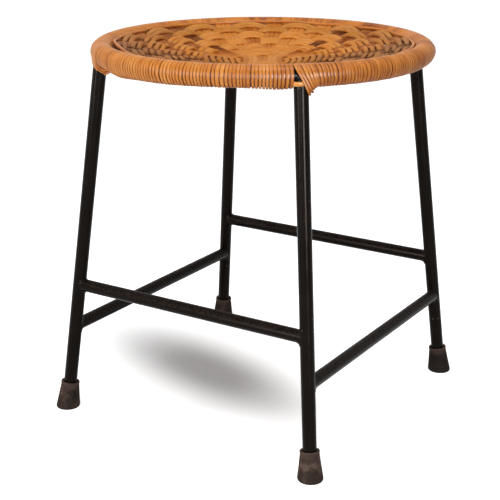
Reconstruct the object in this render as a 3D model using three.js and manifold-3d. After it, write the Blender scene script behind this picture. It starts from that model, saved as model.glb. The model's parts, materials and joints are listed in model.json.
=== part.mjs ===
// A round woven rattan stool on a welded frame of steel tube.
// Millimetres, +Z up. The origin is on the floor under the middle of the seat.
// The front faces -Y: there the upper stretcher joins the two front legs.

import * as THREE from 'three';
import { mergeVertices } from 'three/addons/utils/BufferGeometryUtils.js';
import Module from 'manifold-3d';

const wasm = await Module();
wasm.setup();

// Steel ring under the binding
const ringHeight = 437.5;
const ringRadius = 188.5;
const buttSeam = 0.4;

// Steel tube of the ring and the legs
const tubeDiameter = 15.9;
const tubeWall = 1.5;

// Legs: how far each foot stands out from its leg's top, sideways and frontwards, and how far
// each top sits outside the ring's centre line
const splayX = 42;
const splayY = 37;
const legTopOutset = 2.5;
const legTopDrop = 3;
const legAngle = THREE.MathUtils.degToRad(46.7);

// Stretchers: the front and back pair is higher than the left and right pair
const stretcherDiameter = 15;
const upperStretcherHeight = 160;
const lowerStretcherHeight = 107;

// Weld beads
const stretcherBead = 3.4;
const ringBead = 2.6;

// Rubber feet
const footHeight = 34;
const footTopDiameter = 21;
const footBottomDiameter = 29;
const footBaseEdge = 5;
const footSole = 5;

// Cane binding over the ring, with the reed ends that lie under it
const rimDiameter = 25;
const bindingGroove = 0.8;
const bindingClearance = 0.8;
const bindingEndMargin = 1.6;
const ribsPerRun = 32;
const ribsPerBoreRing = 4;

// Woven dish
const dishDepth = 18;
const dishEdgeRise = 1;
const stakeWidth = 5;
const stakeThickness = 3;
const stakePitch = 5.6;
const stakesPerBundle = 8;
const weaveTurn = THREE.MathUtils.degToRad(32);
const strandThickness = 1.8;
const weaveClearance = 0.4;
const weaveStart = 48;
const weaveMargin = 2.6;
const bandZoneShare = 0.75;
const bandCount = 4;
const rowCount = 2;
const bandGap = 0.6;

// Loose strands at the rim
const edgeStrandDiameter = 3.2;
const lashingDiameter = 2.4;
const lashingSlant = 10;
const lashingTurnShare = 0.72;

// Running gap between pieces that touch, and the length by which a cutter overruns
const gap = 0.3;
const overrun = 20;

// How finely round shapes are drawn
const tubeSides = 16;
const ringSides = 8;
const ringSteps = 44;
const beadSides = 12;
const rimSides = 8;
const strandSides = 6;
const lashingSteps = 16;

const tubeRadius = tubeDiameter / 2;
const stretcherRadius = stretcherDiameter / 2;
const rimRadius = rimDiameter / 2;
const fullTurn = Math.PI * 2;
const quarterTurn = Math.PI / 2;
const drawnAxis = new THREE.Vector3(0, 1, 0);
const up = new THREE.Vector3(0, 0, 1);

const blackLacquer = { color: 0x1b1816, roughness: 0.35, metalness: 0.3 };
const blackRubber = { color: 0x403a38, roughness: 0.8, metalness: 0 };
const cane = { color: 0xc98040, roughness: 0.5, metalness: 0 };
const orangeCane = { color: 0xbd7434, roughness: 0.5, metalness: 0 };
const greyReed = { color: 0x8f7056, roughness: 0.65, metalness: 0 };

const stool = new THREE.Group();

function addPiece(name, geometry, finish) {
  const piece = new THREE.Mesh(geometry, new THREE.MeshStandardMaterial(finish));
  piece.name = name;
  stool.add(piece);
  return piece;
}

// Closed geometry to a solid, and back
function toSolid(geometry) {
  const bare = geometry.clone();
  bare.deleteAttribute('normal');
  bare.deleteAttribute('uv');
  const merged = mergeVertices(bare);
  return new wasm.Manifold(new wasm.Mesh({
    numProp: 3,
    vertProperties: new Float32Array(merged.attributes.position.array),
    triVerts: new Uint32Array(merged.index.array),
  }));
}

function toGeometry(solid) {
  const result = solid.getMesh();
  const geometry = new THREE.BufferGeometry();
  geometry.setAttribute('position', new THREE.BufferAttribute(result.vertProperties, 3));
  geometry.setIndex(new THREE.BufferAttribute(result.triVerts, 1));
  geometry.computeVertexNormals();
  return geometry;
}

// Triangles over listed coordinates
function closedSkin(positions, index) {
  const geometry = new THREE.BufferGeometry();
  geometry.setAttribute('position', new THREE.Float32BufferAttribute(positions, 3));
  geometry.setIndex(index);
  geometry.computeVertexNormals();
  return geometry;
}

// Geometry drawn along +Y from its own origin, placed at start and turned to face end
function placeAlong(geometry, start, end) {
  const direction = end.clone().sub(start).normalize();
  const turn = new THREE.Quaternion().setFromUnitVectors(drawnAxis, direction);
  geometry.applyQuaternion(turn);
  geometry.translate(start.x, start.y, start.z);
  return geometry;
}

function rodBetween(start, end, radius, sides = tubeSides) {
  const length = start.distanceTo(end);
  const rod = new THREE.CylinderGeometry(radius, radius, length, sides);
  rod.translate(0, length / 2, 0);
  return toSolid(placeAlong(rod, start, end));
}

// The same line made longer at both ends
function stretched(start, end, extra) {
  const step = end.clone().sub(start).setLength(extra);
  return [start.clone().sub(step), end.clone().add(step)];
}

function tubeBetween(start, end, radius, wall) {
  const bore = rodBetween(...stretched(start, end, overrun), radius - wall);
  return rodBetween(start, end, radius).subtract(bore);
}

// A piece bent along the ring's centre line. Its outer radius is a function of the share of its
// length, and an inner radius of zero makes it solid.
function bentPiece({ from, to, steps, outer, boreSteps, bore, sides }) {
  const positions = [];
  const index = [];
  const addSection = (angle, radius) => {
    const first = positions.length / 3;
    for (let side = 0; side < sides; side += 1) {
      const turn = fullTurn * side / sides;
      const reach = ringRadius + radius * Math.cos(turn);
      positions.push(reach * Math.cos(angle), reach * Math.sin(angle));
      positions.push(ringHeight + radius * Math.sin(turn));
    }
    return first;
  };
  const join = (near, far) => {
    for (let side = 0; side < sides; side += 1) {
      const next = (side + 1) % sides;
      index.push(near + side, far + next, far + side);
      index.push(near + side, near + next, far + next);
    }
  };
  const sweep = (count, radiusAt) => {
    const sections = [];
    for (let step = 0; step <= count; step += 1) {
      const share = step / count;
      sections.push(addSection(from + (to - from) * share, radiusAt(share)));
    }
    return sections;
  };
  const skin = sweep(steps, outer);
  for (let step = 0; step < steps; step += 1) join(skin[step + 1], skin[step]);
  if (bore > 0) {
    const hole = sweep(boreSteps, () => bore);
    for (let step = 0; step < boreSteps; step += 1) join(hole[step], hole[step + 1]);
    join(skin[0], hole[0]);
    join(hole[boreSteps], skin[steps]);
  } else {
    for (let side = 1; side < sides - 1; side += 1) {
      index.push(skin[0], skin[0] + side, skin[0] + side + 1);
      index.push(skin[steps], skin[steps] + side + 1, skin[steps] + side);
    }
  }
  return closedSkin(positions, index);
}

// Legs: name, and the sign of X and Y of the corner that each stands in
const corners = [
  ['front_left', -1, -1],
  ['front_right', 1, -1],
  ['back_right', 1, 1],
  ['back_left', -1, 1],
];

const legs = {};
for (const [name, signX, signY] of corners) {
  const reach = ringRadius + legTopOutset;
  const ringPoint = new THREE.Vector3(
    signX * reach * Math.cos(legAngle),
    signY * reach * Math.sin(legAngle),
    ringHeight,
  );
  const floorPoint = new THREE.Vector3(
    ringPoint.x + signX * splayX,
    ringPoint.y + signY * splayY,
    0,
  );
  const direction = ringPoint.clone().sub(floorPoint).normalize();
  const along = (distance) => floorPoint.clone().addScaledVector(direction, distance);
  const atHeight = (height) => floorPoint.clone().lerp(ringPoint, height / ringHeight);
  legs[name] = {
    start: along(footSole + gap),
    end: atHeight(ringHeight - legTopDrop),
    floorPoint,
    along,
    atHeight,
    angle: Math.atan2(ringPoint.y, ringPoint.x),
  };
}

// The ring as a solid to cut with, grown by an allowance. Its butt seam is at the back.
const seamAngle = buttSeam / ringRadius / 2;
const ringPath = {
  from: quarterTurn + seamAngle,
  to: quarterTurn + fullTurn - seamAngle,
  steps: ringSteps,
  sides: ringSides,
};

function ringRod(allowance) {
  return toSolid(bentPiece({ ...ringPath, outer: () => tubeRadius + allowance, bore: 0 }));
}

function legRod(leg, allowance, sides) {
  return rodBetween(...stretched(leg.start, leg.end, overrun), tubeRadius + allowance, sides);
}

// Steel ring, rolled from tube
function addRing() {
  addPiece('seat_ring', bentPiece({
    ...ringPath,
    outer: () => tubeRadius,
    boreSteps: ringSteps / 2,
    bore: tubeRadius - tubeWall,
  }), blackLacquer);
}

// Legs, their tops coped to the ring, each with a bead of weld under the ring
function addLegs() {
  for (const [name] of corners) {
    const leg = legs[name];
    const tube = tubeBetween(leg.start, leg.end, tubeRadius, tubeWall);
    const coped = tube.subtract(ringRod(gap));
    addPiece(`leg_${name}`, toGeometry(coped), blackLacquer);
    const around = rodBetween(leg.start, leg.end, tubeRadius + ringBead, beadSides);
    const bead = around
      .intersect(ringRod(ringBead))
      .subtract(ringRod(gap))
      .subtract(legRod(leg, gap));
    addPiece(`ring_weld_${name}`, toGeometry(bead), blackLacquer);
  }
}

// Stretchers, their ends coped to the legs, with a bead of weld at each end
const stretchers = [
  ['front', 'front_left', 'front_right', upperStretcherHeight],
  ['back', 'back_left', 'back_right', upperStretcherHeight],
  ['left', 'front_left', 'back_left', lowerStretcherHeight],
  ['right', 'front_right', 'back_right', lowerStretcherHeight],
];

function addStretchers() {
  for (const [name, first, second, height] of stretchers) {
    const start = legs[first].atHeight(height);
    const end = legs[second].atHeight(height);
    const tube = tubeBetween(start, end, stretcherRadius, tubeWall)
      .subtract(legRod(legs[first], gap))
      .subtract(legRod(legs[second], gap));
    addPiece(`stretcher_${name}`, toGeometry(tube), blackLacquer);
    const level = height === upperStretcherHeight ? 'upper' : 'lower';
    for (const corner of [first, second]) {
      const near = legs[corner].atHeight(height);
      const far = corner === first ? end : start;
      const bead = rodBetween(near, far, stretcherRadius + stretcherBead, beadSides)
        .intersect(legRod(legs[corner], stretcherBead, beadSides))
        .subtract(legRod(legs[corner], gap))
        .subtract(rodBetween(near, far, stretcherRadius + gap));
      addPiece(`${level}_weld_${corner}`, toGeometry(bead), blackLacquer);
    }
  }
}

// Rubber feet pushed on over the leg ends, their soles cut level with the floor
function addFeet() {
  const boreRadius = tubeRadius + gap;
  const outline = [
    [0, -footBottomDiameter / 2],
    [footBottomDiameter / 2, -footBottomDiameter / 2],
    [footBottomDiameter / 2, footBaseEdge],
    [footTopDiameter / 2, footHeight],
    [boreRadius, footHeight],
    [boreRadius, footSole],
    [0, footSole],
  ].map(([radius, rise]) => new THREE.Vector2(radius, rise));
  for (const [name] of corners) {
    const leg = legs[name];
    const ferrule = new THREE.LatheGeometry(outline, tubeSides);
    placeAlong(ferrule, leg.floorPoint, leg.end);
    const span = footBottomDiameter + overrun;
    const floor = new THREE.BoxGeometry(span, span, overrun);
    floor.translate(leg.floorPoint.x, leg.floorPoint.y, -overrun / 2);
    addPiece(`foot_${name}`, toGeometry(toSolid(ferrule).subtract(toSolid(floor))), blackRubber);
  }
}

// Binding: four ribbed runs between the legs, and a wrap over three of the leg tops
const bindingBore = (tubeRadius + bindingClearance) / Math.cos(Math.PI / rimSides);
const wrapHalfLength = tubeRadius + ringBead + bindingEndMargin;
const wrapHalfAngle = wrapHalfLength / ringRadius;
const runEndAngle = (wrapHalfLength + gap) / ringRadius;

function ribRadius(share) {
  const halfRib = Math.round(share * ribsPerRun * 2);
  return halfRib % 2 === 0 ? rimRadius - bindingGroove : rimRadius;
}

const runs = [
  ['front', 'front_left', 'front_right'],
  ['right', 'front_right', 'back_right'],
  ['back', 'back_right', 'back_left'],
  ['left', 'back_left', 'front_left'],
];

function addBinding() {
  for (const [name, first, second] of runs) {
    const from = legs[first].angle;
    const to = legs[second].angle < from ? legs[second].angle + fullTurn : legs[second].angle;
    addPiece(`rim_binding_${name}`, bentPiece({
      from: from + runEndAngle,
      to: to - runEndAngle,
      steps: ribsPerRun * 2,
      outer: ribRadius,
      boreSteps: ribsPerRun / ribsPerBoreRing,
      bore: bindingBore,
      sides: rimSides,
    }), cane);
  }
  for (const name of ['front_left', 'back_right', 'back_left']) {
    const leg = legs[name];
    const sleeve = toSolid(bentPiece({
      from: leg.angle - wrapHalfAngle,
      to: leg.angle + wrapHalfAngle,
      steps: 2,
      outer: () => rimRadius,
      boreSteps: 1,
      bore: bindingBore,
      sides: rimSides,
    }));
    const beadEnds = stretched(leg.start, leg.end, gap);
    const beadRoom = rodBetween(...beadEnds, tubeRadius + ringBead + gap, beadSides);
    addPiece(`leg_wrap_${name}`, toGeometry(sleeve.subtract(beadRoom)), cane);
  }
}

// A strand through stations. Its section has its width square to the hint and to the run.
function strandThrough(stations, width, thickness, hint) {
  const positions = [];
  const index = [];
  const last = stations.length - 1;
  stations.forEach((station, place) => {
    const before = stations[Math.max(place - 1, 0)];
    const after = stations[Math.min(place + 1, last)];
    const run = after.clone().sub(before).normalize();
    const side = hint.clone().cross(run).normalize();
    const rise = run.clone().cross(side);
    for (let corner = 0; corner < strandSides; corner += 1) {
      const turn = fullTurn * corner / strandSides;
      const point = station.clone()
        .addScaledVector(side, Math.cos(turn) * width / 2)
        .addScaledVector(rise, Math.sin(turn) * thickness / 2);
      positions.push(point.x, point.y, point.z);
    }
  });
  for (let place = 0; place < last; place += 1) {
    const near = place * strandSides;
    const far = near + strandSides;
    for (let corner = 0; corner < strandSides; corner += 1) {
      const next = (corner + 1) % strandSides;
      index.push(near + corner, near + next, far + next);
      index.push(near + corner, far + next, far + corner);
    }
  }
  const lastRing = last * strandSides;
  for (let corner = 1; corner < strandSides - 1; corner += 1) {
    index.push(0, corner + 1, corner);
    index.push(lastRing, lastRing + corner, lastRing + corner + 1);
  }
  return closedSkin(positions, index);
}

// Height of the woven dish at a distance from the middle of the seat
const rimInside = ringRadius - rimRadius;
function dishHeight(distance) {
  const share = distance / rimInside;
  return ringHeight + dishEdgeRise - dishDepth * (1 - share * share);
}

// Stakes: two bundles cross in the middle, then each stake fans out to its own spoke. The bundle
// that runs from front to back lies on top, and the whole weave is turned a little.
const spokeCount = stakesPerBundle * 4;
const spokeStep = fullTurn / spokeCount;

// Stations from the rim inwards, as shares of the way from the weave's start to the rim
const stationShares = [1, 0.75, 0.5, 0.25, 0];

function stakeStations(offset, spoke, lift) {
  const outerEnd = rimInside - gap;
  const half = stationShares.map((share) => {
    const reach = weaveStart + (outerEnd - weaveStart) * share;
    return new THREE.Vector3(
      reach * Math.cos(spoke),
      reach * Math.sin(spoke),
      dishHeight(reach),
    );
  });
  const bendX = offset / Math.tan(spoke);
  const bendHeight = dishHeight(0) + lift;
  half.push(new THREE.Vector3(bendX, offset, bendHeight));
  const mirrored = half.map((point) => new THREE.Vector3(-point.x, point.y, point.z)).reverse();
  return [...half, ...mirrored];
}

function addStakes() {
  const lift = (stakeThickness + gap) / 2;
  for (let stake = 0; stake < stakesPerBundle; stake += 1) {
    const place = stake - (stakesPerBundle - 1) / 2;
    const across = stakeStations(place * stakePitch, place * spokeStep, -lift);
    const along = stakeStations(place * stakePitch, place * spokeStep, lift);
    const acrossStake = strandThrough(across, stakeWidth, stakeThickness, up);
    const alongStake = strandThrough(along, stakeWidth, stakeThickness, up);
    acrossStake.rotateZ(weaveTurn);
    alongStake.rotateZ(weaveTurn + quarterTurn);
    addPiece(`stake_across_${stake + 1}`, acrossStake, greyReed);
    addPiece(`stake_along_${stake + 1}`, alongStake, greyReed);
  }
}

// Woven rings: each passes over one stake and under the next, and its neighbours do the reverse
const waveRise = (stakeThickness + strandThickness) / 2 + weaveClearance;

function wovenRing(inner, outer, phase) {
  const half = strandThickness / 2;
  const profile = [
    new THREE.Vector2(inner, dishHeight(inner) - half),
    new THREE.Vector2(outer, dishHeight(outer) - half),
    new THREE.Vector2(outer, dishHeight(outer) + half),
    new THREE.Vector2(inner, dishHeight(inner) + half),
    new THREE.Vector2(inner, dishHeight(inner) - half),
  ];
  const ring = new THREE.LatheGeometry(profile, spokeCount * 2);
  ring.rotateX(quarterTurn);
  ring.rotateZ(spokeStep / 4);
  const place = ring.attributes.position;
  for (let point = 0; point < place.count; point += 1) {
    const angle = Math.atan2(place.getY(point), place.getX(point));
    const spoke = Math.round(angle / spokeStep - 1 / 2);
    const side = (spoke + phase) % 2 === 0 ? 1 : -1;
    place.setZ(point, place.getZ(point) + side * waveRise);
  }
  ring.rotateZ(weaveTurn);
  return ring;
}

// Wide bands of cane from the crossing outwards, then narrower rows of reed out to the rim
function addWeave() {
  const weaveEnd = rimInside - weaveMargin;
  const weaveSplit = weaveStart + (weaveEnd - weaveStart) * bandZoneShare;
  const bandWidth = (weaveSplit - weaveStart) / bandCount;
  for (let band = 0; band < bandCount; band += 1) {
    const inner = weaveStart + band * bandWidth;
    const ring = wovenRing(inner, inner + bandWidth - bandGap, band);
    addPiece(`cane_band_${band + 1}`, ring, orangeCane);
  }
  const rowWidth = (weaveEnd - weaveSplit) / rowCount;
  for (let row = 0; row < rowCount; row += 1) {
    const inner = weaveSplit + row * rowWidth;
    const ring = wovenRing(inner, inner + rowWidth - bandGap, row + bandCount);
    addPiece(`reed_row_${row + 1}`, ring, greyReed);
  }
}

// Strand laid along the inner edge of the binding, on the middle of one of its flats
const edgeTurn = Math.PI - Math.PI / rimSides;
function addEdgeStrand() {
  const reach = rimRadius * Math.cos(Math.PI / rimSides) + gap + edgeStrandDiameter / 2;
  const strand = new THREE.TorusGeometry(
    ringRadius + reach * Math.cos(edgeTurn),
    edgeStrandDiameter / 2,
    strandSides,
    ringSteps,
  );
  strand.translate(0, 0, ringHeight + reach * Math.sin(edgeTurn));
  addPiece('rim_edge_strand', strand, cane);
}

// Lashing over the bare top of the front right leg: from the top of the ring on the leg's left it
// slants across the outer face, then passes under the ring on the leg's right
function addLashing() {
  const leg = legs.front_right;
  const reach = tubeRadius + ringBead + gap + lashingDiameter / 2;
  const stations = [];
  for (let step = 0; step <= lashingSteps; step += 1) {
    const turn = quarterTurn - fullTurn * lashingTurnShare * step / lashingSteps;
    const crossed = Math.min((quarterTurn - turn) / quarterTurn, 1);
    const angle = leg.angle + lashingSlant * (crossed * 2 - 1) / ringRadius;
    const outwards = ringRadius + reach * Math.cos(turn);
    stations.push(new THREE.Vector3(
      outwards * Math.cos(angle),
      outwards * Math.sin(angle),
      ringHeight + reach * Math.sin(turn),
    ));
  }
  const alongRing = new THREE.Vector3(-Math.sin(leg.angle), Math.cos(leg.angle), 0);
  const strand = strandThrough(stations, lashingDiameter, lashingDiameter, alongRing);
  addPiece('leg_lashing_front_right', strand, cane);
}

addRing();
addLegs();
addStretchers();
addFeet();
addBinding();
addStakes();
addWeave();
addEdgeStrand();
addLashing();

export default stool;
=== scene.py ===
# %% [markdown]
# # A woven cane stool on a welded steel frame
# The stool has a frame of thin black tube, four rubber feet and a round seat of woven rattan. Its
# engineering model is loaded first, and each piece made here takes the place of one of its parts.
# Everything is in metres, with +Z up and the floor at zero.

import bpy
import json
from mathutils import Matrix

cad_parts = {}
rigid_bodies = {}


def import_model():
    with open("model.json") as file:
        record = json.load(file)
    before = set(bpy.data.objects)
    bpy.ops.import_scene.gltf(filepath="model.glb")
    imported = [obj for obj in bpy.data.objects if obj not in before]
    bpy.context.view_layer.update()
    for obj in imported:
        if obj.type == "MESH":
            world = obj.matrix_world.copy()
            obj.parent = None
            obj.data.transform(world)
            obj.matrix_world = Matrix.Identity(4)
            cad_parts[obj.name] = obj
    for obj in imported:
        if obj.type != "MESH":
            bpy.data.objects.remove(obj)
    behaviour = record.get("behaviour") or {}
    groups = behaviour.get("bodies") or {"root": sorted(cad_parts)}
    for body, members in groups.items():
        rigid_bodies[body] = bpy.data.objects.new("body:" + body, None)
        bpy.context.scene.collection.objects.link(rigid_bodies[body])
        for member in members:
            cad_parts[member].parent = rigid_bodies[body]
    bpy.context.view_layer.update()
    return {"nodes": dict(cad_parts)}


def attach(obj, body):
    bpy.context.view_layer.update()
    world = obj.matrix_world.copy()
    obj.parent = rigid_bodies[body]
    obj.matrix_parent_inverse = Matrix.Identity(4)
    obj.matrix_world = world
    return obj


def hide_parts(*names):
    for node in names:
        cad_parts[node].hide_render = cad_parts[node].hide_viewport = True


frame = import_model()
print("parts loaded:", len(frame["nodes"]))

# %% Libraries and the unit
import json
import math
import random

import bmesh
import bpy
from mathutils import Matrix, Vector

mm = 0.001
chance = random.Random(7)

# %% [markdown]
# ## Camera
# The photograph looks down on the stool by 18 degrees, with a long lens. A camera can be placed by
# hand in the viewport, but here the feet, the leg tops and the rim were measured in the photograph,
# and one camera fits them all. Its axes are built from two viewing angles and a very small roll.

# %% Camera
def new_object(name, data):
    made = bpy.data.objects.new(name, data)
    bpy.context.scene.collection.objects.link(made)
    return made


camera_place = Vector((736.20, -1207.56, 655.36)) * mm
camera_turn, camera_pitch, camera_roll = -0.5582, 0.3204, -0.0043
ahead = Vector((
    math.sin(camera_turn) * math.cos(camera_pitch),
    math.cos(camera_turn) * math.cos(camera_pitch),
    -math.sin(camera_pitch),
))
level_right = Vector((math.cos(camera_turn), -math.sin(camera_turn), 0))
level_down = ahead.cross(level_right)
right = math.cos(camera_roll) * level_right + math.sin(camera_roll) * level_down
down = math.cos(camera_roll) * level_down - math.sin(camera_roll) * level_right
camera_data = bpy.data.cameras.new("camera")
camera_data.sensor_width = 36
camera_data.lens = 86.16
camera_data.shift_x = 0.0019
camera_data.clip_end = 50
camera = new_object("camera", camera_data)
camera_axes = Matrix((right, -down, -ahead)).transposed().to_4x4()
camera.matrix_world = Matrix.Translation(camera_place) @ camera_axes
bpy.context.scene.camera = camera
print("camera lens:", camera_data.lens, "mm")

# %% [markdown]
# ## Small helpers
# Operators work on what is selected. These helpers pick objects, apply a place, and go into edit
# mode and out again, as the hand does in the viewport. The last one hands over a finished piece:
# it names it, gives it its finish, smooths it except at sharp corners, and puts it in the place of
# its solids.

# %% Selecting, applying and finishing
def pick(*objects):
    bpy.ops.object.select_all(action="DESELECT")
    for item in objects:
        item.select_set(True)
    bpy.context.view_layer.objects.active = objects[0]


def apply_place(item):
    pick(item)
    bpy.ops.object.transform_apply(location=True, rotation=True, scale=True)


def edit(item):
    pick(item)
    bpy.ops.object.mode_set(mode="EDIT")


def leave_edit():
    bpy.ops.object.mode_set(mode="OBJECT")


def finish(item, name, slot, finish_material, *nodes, smooth=40):
    """The slot is not used, and nodes are the solids that the piece replaces."""
    item.name = item.data.name = name
    item.data.materials.clear()
    item.data.materials.append(finish_material)
    pick(item)
    bpy.ops.object.shade_smooth_by_angle(angle=math.radians(smooth))
    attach(item, "root")
    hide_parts(*nodes)
    print(f"{name}: {len(item.data.polygons)} faces")


# %% [markdown]
# ## Colours and shader nodes
# Colours are written as the hex values that a picture editor shows. Blender works with linear
# light, so one function turns them. Another adds a shader node with its settings and links, so
# that a material reads from top to bottom like a recipe.

# %% Colours and nodes
def linear(channel):
    return channel / 12.92 if channel <= 0.04045 else ((channel + 0.055) / 1.055) ** 2.4


def colour(hex_value):
    channels = [int(hex_value[start:start + 2], 16) / 255 for start in (1, 3, 5)]
    return (*map(linear, channels), 1)


def connect(node, inputs):
    """Gives each input a value, or links it to a socket or to a node's first live output."""
    for name, value in inputs.items():
        if isinstance(value, bpy.types.Node):
            value = next(output for output in value.outputs if output.enabled)
        if isinstance(value, bpy.types.NodeSocket):
            node.id_data.links.new(value, node.inputs[name])
        else:
            node.inputs[name].default_value = value


def add(tree, kind, inputs=None, **settings):
    new = tree.nodes.new("ShaderNode" + kind)
    for name, value in settings.items():
        setattr(new, name, value)
    connect(new, inputs or {})
    return new


def new_material(name):
    made = bpy.data.materials.new(name)
    made.use_nodes = True
    tree = made.node_tree
    return made, tree, tree.nodes["Principled BSDF"]


# %% [markdown]
# ## Black lacquer on steel tube
# The frame was dipped or brushed with black lacquer and has been used for decades. It is semi-gloss
# and slightly wavy, with dust and small chips. A plain dark colour would look like plastic, so four
# things are layered: a slow change of the black itself, dust on faces that look up, rare light
# specks where the lacquer has gone, and a roughness that follows the first two. The level
# stretchers catch more dust than the steep legs, so there are two lacquers. Their plain reflection
# is kept weak, or the white room would veil the black.

# %% Black lacquer
def black_lacquer(name, dust_amount, dust_colour):
    made, tree, shader = new_material(name)
    spot = add(tree, "TexCoord").outputs["Object"]
    # slow cloudiness of the lacquer, about 25 mm across
    cloud = add(tree, "TexNoise", {"Vector": spot, "Scale": 40.0, "Detail": 3.0})
    base = add(tree, "Mix", {
        "Factor": cloud, "A": colour("#070504"), "B": colour("#130e0b"),
    }, data_type="RGBA")
    # dust that has settled on faces that look up, broken up into spots of 3 mm
    facing = add(tree, "SeparateXYZ", {"Vector": add(tree, "NewGeometry").outputs["Normal"]})
    grains = add(tree, "TexNoise", {"Vector": spot, "Scale": 330.0, "Detail": 4.0})
    level = add(tree, "MapRange", {
        "Value": facing.outputs["Z"], "From Min": -0.2, "From Max": 1.0,
        "To Min": 0.0, "To Max": dust_amount,
    })
    spread = add(tree, "MapRange", {"Value": grains, "From Min": 0.35, "From Max": 0.65})
    dust = add(tree, "Math", {0: level, 1: spread}, operation="MULTIPLY")
    dusty = add(tree, "Mix", {
        "Factor": dust, "A": base, "B": colour(dust_colour),
    }, data_type="RGBA")
    # chips: cells 9 mm apart, of which only the very centres show, in patches about 40 mm apart
    cells = add(tree, "TexVoronoi", {"Vector": spot, "Scale": 110.0})
    rare = add(tree, "TexNoise", {"Vector": spot, "Scale": 23.0})
    chip = add(tree, "Math", {0: cells, 1: 0.12}, operation="LESS_THAN")
    some = add(tree, "Math", {0: rare, 1: 0.6}, operation="GREATER_THAN")
    chips = add(tree, "Math", {0: chip, 1: some}, operation="MULTIPLY")
    worn = add(tree, "Mix", {"Factor": chips, "A": dusty, "B": colour("#4d4239")}, data_type="RGBA")
    gloss = add(tree, "MapRange", {
        "Value": cloud, "From Min": 0.3, "From Max": 0.7,
        "To Min": 0.15, "To Max": 0.24,
    })
    dull = add(tree, "Math", {0: gloss, 1: dust}, operation="ADD", use_clamp=True)
    # runs and brush marks in the lacquer, 0.05 mm high and about 4 mm apart
    marks = add(tree, "TexNoise", {"Vector": spot, "Scale": 240.0, "Detail": 2.0})
    bump = add(tree, "Bump", {"Height": marks, "Strength": 0.25, "Distance": 0.2 * mm})
    connect(shader, {
        "Base Color": worn, "Roughness": dull, "Normal": bump, "IOR": 1.5,
        "Specular IOR Level": 0.05, "Specular Tint": (1.0, 0.9, 0.82, 1),
    })
    return made


leg_lacquer = black_lacquer("black lacquer on steel tube", 0.12, "#2a201a")
stretcher_lacquer = black_lacquer("dusty black lacquer", 0.5, "#352b25")
print("lacquers:", leg_lacquer.name, "/", stretcher_lacquer.name)

# %% [markdown]
# ## Grey rubber
# The feet are moulded rubber, once black and now a dry grey-brown in patches. They are painted
# darker towards the floor, as shade, and paler at the mouth, as a highlight on the lip. Rubber has
# hardly any shine, and its grain is too fine to show, so the noise is drawn coarser, at about 1 mm.
# Each foot keeps a value on its mesh, which makes all its patches lighter or darker.

# %% Rubber
def set_ramp(node, first, *others):
    """Puts colours at places on a colour ramp, which starts with one at each end."""
    *between, last = others
    elements = node.color_ramp.elements
    for element, (position, hex_value) in ((elements[0], first), (elements[-1], last)):
        element.position = position
        element.color = colour(hex_value)
    for position, hex_value in between:
        elements.new(position).color = colour(hex_value)


foot_rubber, tree, shader = new_material("moulded grey rubber")
spot = add(tree, "TexCoord").outputs["Object"]
# patches about 14 mm across, moved lighter or darker by a value kept on each foot
patches = add(tree, "TexNoise", {"Vector": spot, "Scale": 70.0, "Detail": 5.0, "Roughness": 0.6})
dust = add(tree, "Attribute", attribute_name="dust").outputs["Fac"]
shifted = add(tree, "Math", {0: patches, 1: dust}, operation="ADD")
tone = add(tree, "ValToRGB", {"Fac": shifted})
set_ramp(tone, (0.36, "#1a120f"), (0.55, "#3c2e28"), (0.68, "#5a4a41"))
# painted shade over the lowest 16 mm, and a painted highlight from 24 mm up to the lip
height = add(tree, "SeparateXYZ", {"Vector": spot}).outputs["Z"]
floor_shade_mask = add(tree, "MapRange", {
    "Value": height, "From Min": 0.0, "From Max": 16 * mm, "To Min": 0.7, "To Max": 0.0,
})
floor_shaded = add(tree, "Mix", {
    "Factor": floor_shade_mask, "A": tone, "B": colour("#2a221d"),
}, data_type="RGBA")
lip_highlight_mask = add(tree, "MapRange", {
    "Value": height, "From Min": 24 * mm, "From Max": 33.5 * mm, "To Min": 0.0, "To Max": 0.6,
})
lip_highlighted = add(tree, "Mix", {
    "Factor": lip_highlight_mask, "A": floor_shaded, "B": colour("#57463f"),
}, data_type="RGBA")
grain = add(tree, "TexNoise", {"Vector": spot, "Scale": 900.0, "Detail": 2.0})
bump = add(tree, "Bump", {"Height": grain, "Strength": 0.35, "Distance": 0.2 * mm})
connect(shader, {
    "Base Color": lip_highlighted, "Normal": bump, "Roughness": 0.72, "IOR": 1.52,
    "Specular IOR Level": 0.05,
})
print("material:", foot_rubber.name)
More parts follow.
